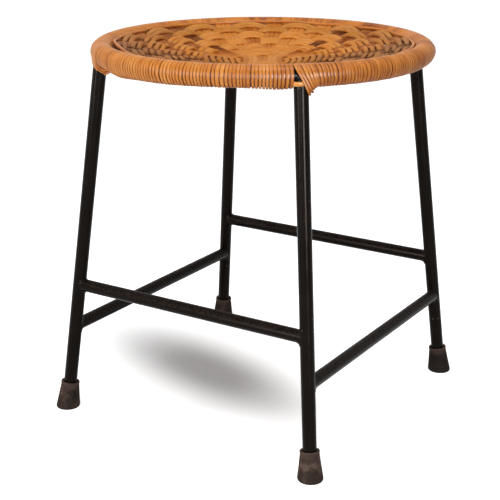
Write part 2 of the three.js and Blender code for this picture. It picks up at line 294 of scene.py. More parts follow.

# %% [markdown]
# ## Rattan
# Rattan shows in two ways here. Peeled cane is the outer skin of the vine, split into strips: honey
# orange, with fine fibres along the strip and a hard surface, which a clear coat gives. Reed is the
# inner core: duller and paler, and grey-brown where grey shade is painted on it. The fibres follow
# the strand, so their pattern lies on the strand's own UV map, in metres along it and across it.
# Three values are stored on the mesh for the shader: tint is the strand's own tone, a second one
# paints grey shade at the sides and the front of the seat, and a third paints shade, with some
# dirt, in the hollows, the grooves and under the rim.

# %% Rattan
def rattan(name, deep, dark, middle, light, roughness, shine, coat=0.0, shade_and_grime="#1c0b04", shaded=None):
    made, tree, shader = new_material(name)
    along = add(tree, "UVMap", uv_map="UVMap").outputs["UV"]
    spot = add(tree, "TexCoord").outputs["Object"]
    tint = add(tree, "Attribute", attribute_name="tint").outputs["Fac"]
    # fibres, 0.5 mm apart across the strand and 20 mm long
    stretch = add(tree, "Mapping", {"Vector": along, "Scale": (50.0, 2000.0, 1.0)})
    fibres = add(tree, "TexNoise", {"Vector": stretch, "Scale": 1.0, "Detail": 2.0})
    # stains, about 12 mm across, that run over several strands
    stains = add(tree, "TexNoise", {"Vector": spot, "Scale": 85.0, "Detail": 3.0})
    first = add(tree, "Math", {0: fibres, 1: 0.35, 2: tint}, operation="MULTIPLY_ADD")
    mixed = add(tree, "Math", {0: stains, 1: 0.5, 2: first}, operation="MULTIPLY_ADD")
    spread = add(tree, "MapRange", {"Value": mixed, "From Min": 0.42, "From Max": 1.42})
    tone = add(tree, "ValToRGB", {"Fac": spread})
    set_ramp(tone, (0.0, deep), (0.2, dark), (0.5, middle), (0.9, light))
    surface = tone
    # painted grey shade, broken up by the stains
    if shaded:
        age = add(tree, "Attribute", attribute_name="age").outputs["Fac"]
        blotch = add(tree, "Math", {0: stains, 1: 0.9, 2: age}, operation="MULTIPLY_ADD")
        amount = add(tree, "MapRange", {"Value": blotch, "From Min": 0.45, "From Max": 1.25})
        surface = add(tree, "Mix", {
            "Factor": amount, "A": surface, "B": colour(shaded),
        }, data_type="RGBA")
    # painted shade, with some dirt, in the hollows, the grooves and under the rim
    dirt = add(tree, "Attribute", attribute_name="dirt").outputs["Fac"]
    surface = add(tree, "Mix", {"Factor": dirt, "A": surface, "B": colour(shade_and_grime)}, data_type="RGBA")
    rough = add(tree, "MapRange", {
        "Value": fibres, "To Min": roughness - 0.08, "To Max": roughness + 0.12,
    })
    bump = add(tree, "Bump", {"Height": fibres, "Strength": 0.3, "Distance": 0.2 * mm})
    connect(shader, {
        "Base Color": surface, "Roughness": rough, "Normal": bump, "IOR": 1.5,
        "Specular IOR Level": shine, "Coat Weight": coat, "Coat Roughness": 0.33,
    })
    return made


binding_cane = rattan(
    "peeled cane, honey", "#5c280c", "#964c16", "#c87a2e", "#dc9449", 0.4, 0.04,
    coat=0.32, shade_and_grime="#642604",
)
woven_cane = rattan(
    "woven cane", "#56280c", "#9a521a", "#c87c34", "#dd9c54", 0.5, 0.03, shaded="#a8714c",
)
woven_reed = rattan(
    "woven reed, aged", "#46240e", "#8f5220", "#c07c38", "#d69a56", 0.6, 0.02, shaded="#ae7a54",
)
print("rattans:", binding_cane.name, "/", woven_cane.name, "/", woven_reed.name)

# %% [markdown]
# ## Steel tubes
# Each leg and stretcher is a straight steel tube. The engineering model draws a tube with 16
# sides, which would show as flat stripes in the gloss. So each is a cylinder with 64 sides here.
# Its end faces, found by their normals, are inset by the wall and pushed in to make an open end.

# %% Places of the frame
ring_radius = 188.5 * mm
ring_height = 437.5 * mm
tube_radius = 7.95 * mm
tube_wall = 1.5 * mm
stretcher_radius = 7.5 * mm
leg_turn = math.radians(46.7)
leg_reach = ring_radius + 2.5 * mm
splay_side, splay_depth = 42 * mm, 37 * mm
corners = {
    "front_left": (-1, -1), "front_right": (1, -1), "back_right": (1, 1), "back_left": (-1, 1),
}
leg_top = {}
leg_floor = {}
for corner, (side, depth) in corners.items():
    top = Vector((
        side * leg_reach * math.cos(leg_turn), depth * leg_reach * math.sin(leg_turn), ring_height,
    ))
    leg_top[corner] = top
    leg_floor[corner] = Vector((top.x + side * splay_side, top.y + depth * splay_depth, 0))


def on_leg(corner, height):
    return leg_floor[corner].lerp(leg_top[corner], height / ring_height)


print("leg tops:", {corner: [round(v, 3) for v in top] for corner, top in leg_top.items()})

# %% Tubes
open_depth = 12 * mm


def choose(item, kind, test):
    """Selects, in edit mode, the faces or the edges that pass the test."""
    shape = bmesh.from_edit_mesh(item.data)
    bpy.ops.mesh.select_all(action="DESELECT")
    for part in getattr(shape, kind):
        if test(part):
            part.select_set(True)
    bmesh.update_edit_mesh(item.data)


def steel_tube(start, end, radius):
    run = end - start
    bpy.ops.mesh.primitive_cylinder_add(
        vertices=64, radius=radius, depth=run.length, end_fill_type="NGON",
        location=(start + end) / 2, rotation=run.to_track_quat("Z", "Y").to_euler(),
    )
    tube = bpy.context.object
    apply_place(tube)
    edit(tube)
    direction = run.normalized()
    choose(tube, "faces", lambda face: abs(face.normal.dot(direction)) > 0.9)
    bpy.ops.mesh.inset(thickness=tube_wall, use_individual=True)
    bpy.ops.mesh.extrude_faces_move(TRANSFORM_OT_shrink_fatten={"value": -open_depth})
    leave_edit()
    return tube


# %% Legs
sole_thickness = 5.3 * mm
leg_top_drop = 3 * mm
for corner in corners:
    upwards = (leg_top[corner] - leg_floor[corner]).normalized()
    leg = steel_tube(
        leg_floor[corner] + upwards * sole_thickness,
        on_leg(corner, ring_height - leg_top_drop), tube_radius,
    )
    finish(leg, f"leg_tube_{corner}", "frame_lacquer", leg_lacquer, f"leg_{corner}")

# %% Stretchers
upper, lower = 160 * mm, 107 * mm
rails = {
    "front": ("front_left", "front_right", upper),
    "back": ("back_left", "back_right", upper),
    "left": ("front_left", "back_left", lower),
    "right": ("front_right", "back_right", lower),
}
for side, (first, second, height) in rails.items():
    rail = steel_tube(on_leg(first, height), on_leg(second, height), stretcher_radius)
    finish(rail, f"stretcher_tube_{side}", "frame_lacquer", stretcher_lacquer, f"stretcher_{side}")

# %% [markdown]
# ## Seat ring
# The ring is the same tube, rolled to a circle. Only a short piece of it shows, at the front right
# leg where the binding is open, and from below. A torus is exactly this shape.

# %% Seat ring
def torus(radius, section, rows, points, **placing):
    """A torus whose points lie in rows, one row for each place round the ring."""
    bpy.ops.mesh.primitive_torus_add(
        major_radius=radius, minor_radius=section, major_segments=rows, minor_segments=points,
        **placing,
    )
    apply_place(bpy.context.object)
    return bpy.context.object


ring = torus(ring_radius, tube_radius, rows=192, points=32, location=(0, 0, ring_height))
finish(ring, "ring_tube", "frame_lacquer", leg_lacquer, "seat_ring", smooth=60)

# %% [markdown]
# ## Welds
# Where two tubes meet, the weld fills the corner with a hollow, slightly lumpy fillet. It could be
# sculpted, but it follows a rule: at each angle round the branch tube it runs in a quarter circle,
# drawn out a little, to the skin of the main tube. So a torus is laid round the branch, and each
# row of its points is moved onto that curve. The last points of each row close the shape out of
# sight, inside the tubes.

# %% Welds
def weld(level, corner, joint, branch, main, branch_radius, size):
    """A fillet round a branch tube that leaves the main tube at the joint, along branch."""
    rows, points = 48, 10
    drawn_out = 1.35
    buried = 1.6 * mm
    # near its silhouette the main tube falls away too steeply to follow
    main_limit = tube_radius * 0.985
    bead = torus(branch_radius, size, rows, points)
    out = branch.normalized()
    across = out.cross(main).normalized()
    upward = across.cross(out).normalized()
    lumps = [chance.uniform(0, math.tau) for _ in range(3)]
    for number, vertex in enumerate(bead.data.vertices):
        row, point = divmod(number, points)
        turn = math.tau * row / rows
        widest = main_limit / max(abs(math.cos(turn)), 0.001)
        lump = 1 + 0.1 * math.sin(5 * turn + lumps[0]) + 0.08 * math.sin(9 * turn + lumps[1])
        reach = max(min(size * lump, widest - branch_radius), 0.25 * mm)
        if point < 7:
            sweep = math.pi / 2 * point / 6
            radius = branch_radius + reach * (1 - math.cos(sweep))
            rise = reach * (1 - math.sin(sweep)) * drawn_out
        elif point == 7:
            radius, rise = branch_radius + reach * 0.8, -buried
        else:
            radius, rise = branch_radius - 1 * mm, (-buried if point == 8 else reach)
        sideways = radius * math.cos(turn)
        skin = math.sqrt(max(tube_radius ** 2 - min(abs(sideways), main_limit) ** 2, 0))
        vertex.co = (
            joint + across * sideways + upward * radius * math.sin(turn) + out * (skin + rise)
        )
    edit(bead)
    bpy.ops.mesh.select_all(action="SELECT")
    bpy.ops.mesh.normals_make_consistent(inside=False)
    leave_edit()
    finish(
        bead, f"{level}_bead_{corner}", "frame_lacquer", leg_lacquer, f"{level}_weld_{corner}",
        smooth=60,
    )


# %% Welds of the stretchers
rail_fillet, ring_fillet = 3.4 * mm, 2.4 * mm
for side, (first, second, height) in rails.items():
    level = "upper" if height == upper else "lower"
    for corner, other in ((first, second), (second, first)):
        joint = on_leg(corner, height)
        weld(
            level, corner, joint, on_leg(other, height) - joint,
            leg_top[corner] - leg_floor[corner], stretcher_radius, rail_fillet,
        )

# %% Welds of the ring
for corner, top in leg_top.items():
    middle = Vector((top.x, top.y, 0)).normalized() * ring_radius
    middle.z = ring_height
    around = Vector((-top.y, top.x, 0)).normalized()
    # the leg's top lies a little outside the ring's middle line, and the weld between the two
    joint = middle + (top - middle) * 0.7
    weld("ring", corner, joint, leg_floor[corner] - top, around, tube_radius, ring_fillet)

# %% [markdown]
# ## Rubber feet
# A foot is a moulded ferrule: a cone with a thin lip at its mouth, a soft edge at the floor and a
# flat sole. A circle is extruded and scaled step by step, as a potter draws up a wall, and then
# leaned over with its leg. The sole stays level on the floor and the lip turns square to the leg,
# so the lean grows from nothing at the floor to the full angle at the mouth.

# %% Draw up a foot
foot_height = 34 * mm
sole_border = 4 * mm
foot_steps = [
    # radius and height of each ring, in mm: up the outside, over the lip and down the bore
    (13.0, 0.0), (14.0, 0.35), (14.5, 1.2), (14.55, 2.6), (14.2, 5.5), (13.4, 11.0), (12.5, 18.0),
    (11.6, 25.0), (10.95, 30.2), (10.8, 31.2), (11.15, 31.6), (11.3, 32.3), (11.25, 33.3),
    (10.9, 33.85), (10.2, 34.0), (8.9, 33.9), (8.3, 33.4), (8.2, 31.0), (8.15, 6.0), (4.0, 5.6),
]


def upright_foot():
    radius, rise = foot_steps[0]
    bpy.ops.mesh.primitive_circle_add(vertices=64, radius=radius * mm, fill_type="NGON")
    foot = bpy.context.object
    edit(foot)
    bpy.ops.mesh.select_all(action="SELECT")
    bpy.ops.mesh.inset(thickness=sole_border)
    choose(foot, "edges", lambda line: line.is_boundary)
    for next_radius, next_rise in foot_steps[1:]:
        lift = (0, 0, (next_rise - rise) * mm)
        bpy.ops.mesh.extrude_region_move(TRANSFORM_OT_translate={"value": lift})
        scale = next_radius / radius
        bpy.ops.transform.resize(value=(scale, scale, 1), center_override=(0, 0, next_rise * mm))
        radius, rise = next_radius, next_rise
    bpy.ops.mesh.edge_face_add()
    bpy.ops.mesh.select_all(action="SELECT")
    bpy.ops.mesh.normals_make_consistent(inside=False)
    leave_edit()
    return foot


# %% Lean the feet
def store_values(data, name, values):
    """Keeps one value for each point on the mesh, for the shader to read."""
    data.attributes.new(name, "FLOAT", "POINT").data.foreach_set("value", values)


def store_value(data, name, value):
    store_values(data, name, [value] * len(data.vertices))


# a shift for each foot that makes all its patches lighter or darker
foot_tone_shift = {"front_left": 0.0, "front_right": 0.03, "back_left": -0.08, "back_right": -0.2}
for corner, dust in foot_tone_shift.items():
    foot = upright_foot()
    lean = leg_top[corner] - leg_floor[corner]
    outward = Vector((lean.x, lean.y, 0)).normalized()
    sideways = Vector((0, 0, 1)).cross(outward)
    angle = math.atan2(Vector((lean.x, lean.y)).length, lean.z)
    for vertex in foot.data.vertices:
        rise = vertex.co.z
        tilt = angle * min(rise / foot_height, 1)
        centre = leg_floor[corner] + lean.normalized() * rise
        slope = outward * math.cos(tilt) - Vector((0, 0, math.sin(tilt)))
        vertex.co = centre + slope * vertex.co.x + sideways * vertex.co.y
    store_value(foot.data, "dust", dust)
    finish(foot, f"rubber_foot_{corner}", "foot_rubber", foot_rubber, f"foot_{corner}", smooth=50)

# %% [markdown]
# ## One turn of cane
# Cane strips are wound round the ring, turn against turn, over the ends of the reeds: about 280
# turns, each 3 to 5 mm wide. One turn is a torus, stretched into a flat strip. It is copied along a
# straight line, each time with its own width, tint and slant, and each copy can bulge outwards, sag
# under the rim or come loose. Shade is painted on it, with some dirt, in the grooves beside it,
# less on top, and underneath.

# %% One turn of cane
rim_radius = 12.5 * mm
cane_thickness = 1.5 * mm
strip_girth = 10 * mm


def set_strand_uv(data, length, girth):
    """Stretches a torus's UV map from the unit square to metres."""
    for loop in data.uv_layers["UVMap"].data:
        loop.uv = (loop.uv[0] * length, loop.uv[1] * girth)


turn_of_cane = torus(
    rim_radius - cane_thickness / 2, cane_thickness / 2, rows=28, points=6,
    rotation=(0, math.pi / 2, 0),
)
turn_of_cane.name = "turn_of_cane"
set_strand_uv(turn_of_cane.data, math.tau * rim_radius, strip_girth)
print("one turn of cane:", len(turn_of_cane.data.polygons), "faces")


# %% Copy the turn
def cane_turn(
    x, width, slant=0.0, bulge=0.0, sag=0.0, fullness=2.0, loose=0.0, shade_and_grime=0.75, tint=0.5,
):
    """A copy of the turn at x. In the row, +Y is the inside of the seat and +Z is up."""
    data = turn_of_cane.data.copy()
    data.transform(Matrix.Diagonal((width / cane_thickness, 1, 1, 1)))
    dirt = []
    for vertex in data.vertices:
        inward, upward = vertex.co.y / rim_radius, vertex.co.z / rim_radius
        # painted shade, with some dirt: under the rim and in the grooves, less on top
        underside = 0.7 * min(max(-upward - 0.62, 0) / 0.33, 1)
        groove = 0.5 * min(abs(vertex.co.x) / (0.43 * width), 1) * (1 - 0.8 * max(upward, 0))
        dirt.append(shade_and_grime * max(underside, groove))
        # pulled tight and close on top and inside, a little open on the outside
        vertex.co.x *= 1 + 0.07 * inward + 0.09 * upward
        vertex.co.x += x - slant * upward
        if inward < 0:
            vertex.co.y -= bulge * inward ** 2
            vertex.co.x += loose * 2.4 * mm * inward
        if upward < 0:
            vertex.co.z -= sag * (-upward) ** fullness
            vertex.co.y -= loose * 9 * mm * upward ** 2
    store_value(data, "tint", tint)
    store_values(data, "dirt", dirt)
    return new_object("turn", data)


# %% [markdown]
# ## Straight strands
# The other strands, and the core of reed ends inside the binding, start as a thin flattened
# cylinder, whose long edges are subdivided so that it can bend. Its UV map is written again in
# metres, because a cylinder's own map squeezes the whole length into one square.

# %% Straight strands
def straight_strand(length, width, thickness, piece, sides=8, tint=0.5):
    """A strand along X with its middle at the origin, cut into pieces of about this length."""
    bpy.ops.mesh.primitive_cylinder_add(
        vertices=sides, radius=width / 2, depth=length, rotation=(0, math.pi / 2, 0),
    )
    strand = bpy.context.object
    apply_place(strand)
    edit(strand)
    choose(strand, "edges", lambda line: line.calc_length() > length * 0.9)
    bpy.ops.mesh.subdivide(number_cuts=max(round(length / piece) - 1, 1))
    leave_edit()
    for loop, spot_on_map in zip(strand.data.loops, strand.data.uv_layers["UVMap"].data):
        co = strand.data.vertices[loop.vertex_index].co
        spot_on_map.uv = (co.x, math.atan2(abs(co.y), co.z) * width / 2)
    strand.data.transform(Matrix.Diagonal((1, 1, thickness / width, 1)))
    store_value(strand.data, "tint", tint)
    return strand


# %% [markdown]
# ## Binding of the rim
# A row of turns is joined with its core and bent to its part of the circle by a Simple Deform
# modifier, as a straight row is bent by hand. The real binding bulges and sags where a reed end
# lies under it, and stands open at a few places. Both were read from the photograph and are given
# for each run by their place in millimetres.

# %% Bend a row to the rim
def place(item, matrix):
    item.matrix_world = matrix @ item.matrix_world
    bpy.context.view_layer.update()
    apply_place(item)


def apply_modifier(item, kind, **settings):
    pick(item)
    bpy.ops.object.modifier_add(type=kind)
    modifier = item.modifiers[-1]
    for name, value in settings.items():
        setattr(modifier, name, value)
    bpy.ops.object.modifier_apply(modifier=modifier.name)


def join(items):
    pick(*items)
    bpy.ops.object.join()
    return bpy.context.object


def bend_to_rim(items, middle_angle):
    """Joins straight items, bends them to the ring and turns them to their place."""
    row = join(items)
    bpy.context.view_layer.update()
    apply_modifier(
        row, "SIMPLE_DEFORM", deform_method="BEND", deform_axis="Z",
        angle=row.dimensions.x / ring_radius,
    )
    to_ring = Matrix.Translation((0, -ring_radius, ring_height))
    place(row, Matrix.Rotation(middle_angle + math.pi / 2, 4, "Z") @ to_ring)
    return row


# %% Widths of the turns
strip_choices = (2.9, 3.3, 3.6, 3.8, 4.0, 4.2, 4.8)
gap_choices = (0.0, 0.05, 0.25)
wide_gap = 0.85


def strip_widths(length, wide_gaps):
    """Widths and gaps that fill a length; wide gaps are opened at given places."""
    strips = []
    total = 0
    while total < length:
        width = chance.choice(strip_choices) * mm
        wide = any(total < place_mm * mm <= total + width for place_mm in wide_gaps)
        gap = (wide_gap if wide else chance.choice(gap_choices)) * mm
        strips.append((width, gap))
        total += width + gap
    return [(width * length / total, gap * length / total) for width, gap in strips]


# %% One run of the binding
core_girth = 2 * (rim_radius - 1.15 * mm)
fan_slant = 2.6 * mm


def binding_run(first, second, lumps, wide_gaps, fanned, tone):
    """One run between two angles. Turns that lie side by side are of nearly the same tint."""
    length = (second - first) * ring_radius
    pieces = []
    x = -length / 2
    tint = tone
    for number, (width, gap) in enumerate(strip_widths(length, wide_gaps)):
        tint = tone + 0.6 * (tint - tone) + chance.uniform(-0.13, 0.13)
        start = x + length / 2
        bulge = sag = 0.0
        for place_mm, reach_mm, bulge_mm, sag_mm in lumps:
            near = math.exp(-(((start / mm - place_mm) / reach_mm) ** 2))
            bulge += bulge_mm * near * mm
            sag += sag_mm * near * mm
        slant = max(1 - number / fanned, 0) * fan_slant if fanned else 0
        pieces.append(cane_turn(
            x + width / 2, width * 1.02, tint=tint,
            slant=slant + chance.uniform(-0.25, 0.25) * mm,
            bulge=bulge + chance.uniform(-0.36, -0.06) * mm,
            sag=sag + chance.uniform(0, 0.3) * mm,
        ))
        x += width + gap
    # the core is painted dark, as shade in the gaps between the turns
    core = straight_strand(length - 0.6 * mm, core_girth, core_girth, 6 * mm, sides=20, tint=-0.6)
    return bend_to_rim([*pieces, core], (first + second) / 2)


# %% The four runs
run_end = 12.45 * mm / ring_radius
front_run_extra = 4.3 * mm / ring_radius
leg_angle = {
    "front_left": -math.pi + leg_turn, "front_right": -leg_turn,
    "back_right": leg_turn, "back_left": math.pi - leg_turn,
}
runs = {
    # first and last angle, lumps (place, reach, bulge and sag in mm), places of the wide gaps,
    # number of fanned turns at the start, and mean tint
    "front": (
        leg_angle["front_left"] + run_end, leg_angle["front_right"] - run_end + front_run_extra,
        [(52, 26, 0.6, 3.2), (112, 45, 0.0, 1.6), (246, 18, 0.3, 1.6)],
        (123, 151, 183, 221), 0, 0.53,
    ),
    "right": (
        leg_angle["front_right"] + run_end, leg_angle["back_right"] - run_end,
        [(190, 16, 0.8, 0.0), (225, 20, 1.2, 0.0)], (22, 91, 140), 6, 0.51,
    ),
    "back": (
        leg_angle["back_right"] + run_end, leg_angle["back_left"] - run_end,
        [], (60, 170), 0, 0.4,
    ),
    "left": (
        leg_angle["back_left"] + run_end, leg_angle["front_left"] + math.tau - run_end,
        [(262, 30, 1.0, 2.5)], (30, 130), 0, 0.48,
    ),
}
for side, run_values in runs.items():
    finish(
        binding_run(*run_values), f"binding_{side}", "binding_cane", binding_cane,
        f"rim_binding_{side}", smooth=70,
    )

# %% [markdown]
# ## Wraps over three leg tops
# At three legs the binding goes round the ring and the leg top together. There the cane is broader,
# lies close and hangs lower than the rim, most at the front left. So each wrap is seven broad turns
# that sag most in the middle. A core sags with them, so that no light shows between the strips.

# %% Wraps over three leg tops
wrap_half = 12.15 * mm
strip_count = 7
broad_strip = 7.2 * mm
wrap_core = 22.9 * mm
for corner, hang, fullness in (
    # how far the wrap hangs, in mm, and how full it is: a low power fills out the sides
    ("front_left", 10.8, 0.42), ("back_right", 5.2, 2), ("back_left", 5.2, 2),
):
    pieces = []
    for number in range(strip_count):
        x = (number - 3) * wrap_half * 2 / strip_count
        crown = math.cos(x / wrap_half * math.pi / 2)
        pieces.append(cane_turn(
            x, broad_strip, slant=chance.uniform(-0.4, 0.4) * mm, bulge=1.2 * mm * crown,
            sag=(0.4 + hang * crown ** 0.7) * mm, fullness=fullness, shade_and_grime=0.25,
            tint=chance.uniform(0.48, 0.54),
        ))
    core = straight_strand(2 * wrap_half - 1 * mm, wrap_core, wrap_core, 2 * mm, sides=20, tint=0.5)
    for vertex in core.data.vertices:
        crown = max(math.cos(vertex.co.x / wrap_half * math.pi / 2), 0)
        downward = min(max(-vertex.co.z / (wrap_core / 2), 0), 1)
        vertex.co.z -= hang * crown ** 0.7 * downward ** fullness * mm
    wrap = bend_to_rim([*pieces, core], leg_angle[corner])
    finish(
        wrap, f"leg_binding_{corner}", "binding_cane", binding_cane,
        f"leg_wrap_{corner}", smooth=70,
    )

# %% [markdown]
# ## Loose lashing at the front right leg
# Here the binding has worked loose. Left of the leg it simply ends, and the black tube shows. On
# the right a few strips slant across the tube, and two hang below the rim in a small loop. They are
# turns of the same cane with a strong slant, the lowest with some sag. One pale strip runs along
# the ring under them. It is a straight strand that is laid along a path of points.

# %% Lay a strand along a path
def lay_along(strand, path):
    """Moves a strand onto a path, by distance from its end: X goes along, Y sideways, Z up."""
    lengths = [0.0]
    for before, after in zip(path, path[1:]):
        lengths.append(lengths[-1] + (after - before).length)
    xs = [vertex.co.x for vertex in strand.data.vertices]
    first, last = min(xs), max(xs)
    for vertex in strand.data.vertices:
        want = (vertex.co.x - first) / (last - first) * lengths[-1]
        number = 0
        while number < len(path) - 2 and lengths[number + 1] < want:
            number += 1
        start, end = path[number], path[number + 1]
        share = (want - lengths[number]) / (lengths[number + 1] - lengths[number])
        # the direction turns smoothly from one point of the path to the next
        arriving = (end - path[max(number - 1, 0)]).normalized()
        leaving = (path[min(number + 2, len(path) - 1)] - start).normalized()
        along = arriving.lerp(leaving, share)
        side = Vector((0, 0, 1)).cross(along).normalized()
        upward = along.normalized().cross(side)
        vertex.co = start.lerp(end, share) + side * vertex.co.y + upward * vertex.co.z
    return strand


# %% Loose lashing
loose_strips = [
    # middle, slant, sag and width in mm, how far it stands off the leg, and tint
    (1.4, 7.0, 7.4, 4.0, 1.0, 0.56),
    (4.6, 6.4, 4.8, 4.4, 1.0, 0.4),
    (7.6, 5.2, 1.8, 4.4, 0.7, 0.62),
    (10.6, 4.2, 0.4, 4.2, 0.5, 0.48),
    (13.2, 3.0, 0.2, 3.8, 0.2, 0.56),
]
strips = [
    cane_turn(x * mm, width * mm, slant=slant * mm, sag=sag * mm, loose=off, tint=tint)
    for x, slant, sag, width, off, tint in loose_strips
]
side_path = [
    Vector((x, y, -6.8)) * mm
    for x, y in ((-9, -10.2), (-5, -11.6), (-1, -11.6), (3, -10.6), (6, -9.0))
]
side_strip = lay_along(straight_strand(17 * mm, 1.5 * mm, 4.8 * mm, 2 * mm, tint=0.9), side_path)
finish(
    bend_to_rim([*strips, side_strip], leg_angle["front_right"]), "loose_lashing",
    "binding_cane", binding_cane, "leg_lashing_front_right", smooth=70,
)

# %% [markdown]
# ## The dish of the seat
# The seat is a shallow dish, and its height follows a parabola. Painted shade follows the dish as
# well: as the camera sees them, the strands are painted grey and darker at the two sides and along
# the front edge, where the front rim shades them, and painted shade with some dirt lies in the
# hollows between them. One function works out both from the place of a point.

# %% The dish of the seat
rim_inside = ring_radius - rim_radius
edge_rise, dish_depth = 4.5 * mm, 21.5 * mm
weave_turn = math.radians(32)
spokes = 32
weave_start = 48 * mm
weave_end = rim_inside - 2.6 * mm
strand_pitch = (weave_end - weave_start) / 16
towards_camera = Vector((camera_place.x, camera_place.y)).normalized()
print("strand pitch:", round(strand_pitch / mm, 2), "mm")


def dish_height(distance):
    share = min(distance / rim_inside, 1)
    return ring_height + edge_rise - dish_depth * (1 - share * share)


def painted_shade_at(point):
    """Painted grey shade, and painted shade with dirt, at a point of the seat, both from 0 to 1."""
    flat = Vector((point.x, point.y)) / rim_inside
    forward = flat.dot(towards_camera)
    sideways = max(flat.length_squared - forward * forward, 0)
    # painted shadow of the front rim in a band along the front, and painted shade in the hollows
    front_shadow_band = min(max(forward + 0.08, 0) * 8, 1) * min(math.sqrt(sideways) * 2.5, 1)
    hollow = (dish_height(math.hypot(point.x, point.y)) - point.z) / mm
    depth = min(max(hollow + 1.0 + 2.6 * front_shadow_band, 0) / 2.3, 1)
    age = 0.62 * sideways + 0.3 * front_shadow_band - 0.08
    dirt = depth * min(1.6 * sideways + 0.85 * front_shadow_band, 0.98)
    return age, dirt + 0.15 * front_shadow_band * (1 - depth)


def set_painted_shade(data, shade_and_dirt_scale=1.0):
    shading = [painted_shade_at(vertex.co) for vertex in data.vertices]
    store_values(data, "age", [age for age, dirt in shading])
    store_values(data, "dirt", [dirt * shade_and_dirt_scale for age, dirt in shading])


# %% [markdown]
# ## Woven strands
# Thirty-two spokes carry the weave. Strands are woven round between them: over one spoke, under the
# next. Three side by side take the same way, and the next three the opposite way. The first rounds,
# in the middle, go over four stakes and under the next four. A woven strand could be a curve, but a
# torus has its rows of points in order already, and each row only has to be lifted by a wave. Each
# strand wanders a little from its circle, each arc has its own height, and at the two sides the
# reed stands more on edge.

# %% Shape of a woven strand
strand_sides = 8
rows_per_spoke = 8
wander = 0.35 * mm


def woven_strand(radius, width, thickness, rise_at, tint):
    """A torus laid on the dish and lifted by a wave."""
    rows = spokes * rows_per_spoke
    strand = torus(radius, width / 2, rows, strand_sides)
    set_strand_uv(strand.data, math.tau * radius, 2 * (width + thickness))
    waves = [
        (chance.uniform(0.3, 1) * wander, chance.choice((3, 5, 8, 13)), chance.uniform(0, math.tau))
        for _ in range(3)
    ]
    uneven = [chance.uniform(0.88, 1.1) for _ in range(spokes)]
    dish_slope = 2 * dish_depth * radius / rim_inside ** 2
    for number, vertex in enumerate(strand.data.vertices):
        row, point = divmod(number, strand_sides)
        local = math.tau * (row / rows + 0.5 / spokes)
        angle = local + weave_turn
        section = math.tau * point / strand_sides
        edge_on = 1 - Vector((math.cos(angle), math.sin(angle))).dot(towards_camera) ** 2
        drift = sum(size * math.sin(count * local + start) for size, count, start in waves)
        reach = radius + drift + width / 2 * (1.14 - 0.25 * edge_on) * math.cos(section)
        arc = uneven[round(row / rows_per_spoke) % spokes] * (0.9 + 0.32 * edge_on)
        height = rise_at(local) * arc
        height += thickness / 2 * (0.8 + 0.45 * edge_on) * math.sin(section)
        height += (reach - radius) * dish_slope
        vertex.co = (reach * math.cos(angle), reach * math.sin(angle), dish_height(radius) + height)
    store_value(strand.data, "tint", tint)
    set_painted_shade(strand.data)
    return strand


# %% Ways over and under
bundle_lift = 1.65 * mm
rest_length = 20 * mm


def flat_topped(value):
    return value * (1.25 - 0.25 * value * value)


def on_bundle(distance):
    """From 0 at the start of the spokes to 1 where the two bundles lie on each other."""
    return min(max((weave_start - distance) / rest_length, 0), 1)


def over_fours(radius):
    """The first rounds go over four stakes and under the next four."""
    def rise(local):
        wave = flat_topped(math.cos(4 * local))
        lower_bundle = bundle_lift * on_bundle(radius) * math.cos(2 * local)
        return 3.1 * mm * wave - lower_bundle * max(wave, 0)
    return rise


def over_ones(way, swing):
    """All other rounds go over one spoke in a long arc and dip under the next."""
    def rise(local):
        wave = way * math.cos(spokes / 2 * local - math.pi / 2)
        return swing * (flat_topped(wave) + 0.2 * (1 - wave * wave))
    return rise


# %% Weave the strands
inner_rounds = [29.2 * mm, 36.6 * mm, 44.2 * mm]
groups = [
    # name of the group, count of its strands, and their width, thickness and swing in mm
    ("band_1", 3, 7.0, 3.0, 3.0), ("band_2", 3, 7.0, 3.0, 2.1), ("band_3", 3, 7.0, 3.2, 2.4),
    ("band_4", 3, 6.9, 3.3, 2.9), ("row_1", 2, 6.8, 3.5, 3.3), ("row_2", 2, 6.7, 3.6, 3.4),
]
strands_before = 0
for group, (name, count, width, thickness, swing) in enumerate(groups):
    radii = [weave_start + (strands_before + step + 0.5) * strand_pitch for step in range(count)]
    if group == 0:
        radii = inner_rounds + radii
    strands = []
    for number, radius in enumerate(radii):
        # where the way changes, the first strand is thicker, so that no light comes through
        body = thickness * (1.4 if group and number == 0 else 1)
        way = 1 if group % 2 else -1
        strands.append(woven_strand(
            radius, width * mm, body * mm,
            over_ones(way, swing * mm) if group else over_fours(radius),
            tint=chance.uniform(0.46, 0.72),
        ))
    strands_before += count
    woven = join(strands)
    if name.startswith("band"):
        finish(woven, f"woven_{name}", "woven_cane", woven_cane, f"cane_{name}", smooth=80)
    else:
        finish(woven, f"woven_{name}", "reed", woven_reed, f"reed_{name}", smooth=80)

# %% [markdown]
# ## Stakes
# The spokes are stakes of reed: eight run across the seat and eight along it. They cross in the
# middle as two flat bundles, and from there each bends into its own spoke. Near the rim the spokes
# stand far apart, so two short stakes are pushed in beside each, and widen outwards. Each stake is
# a straight strand laid along its path. Its ends are painted darker than the crossing, as shade
# between the strands.

# %% Path of a stake
corner_cut = 13 * mm


def spoke_point(reach, angle, lift=0.0):
    return Vector((reach * math.cos(angle), reach * math.sin(angle), dish_height(reach) + lift))


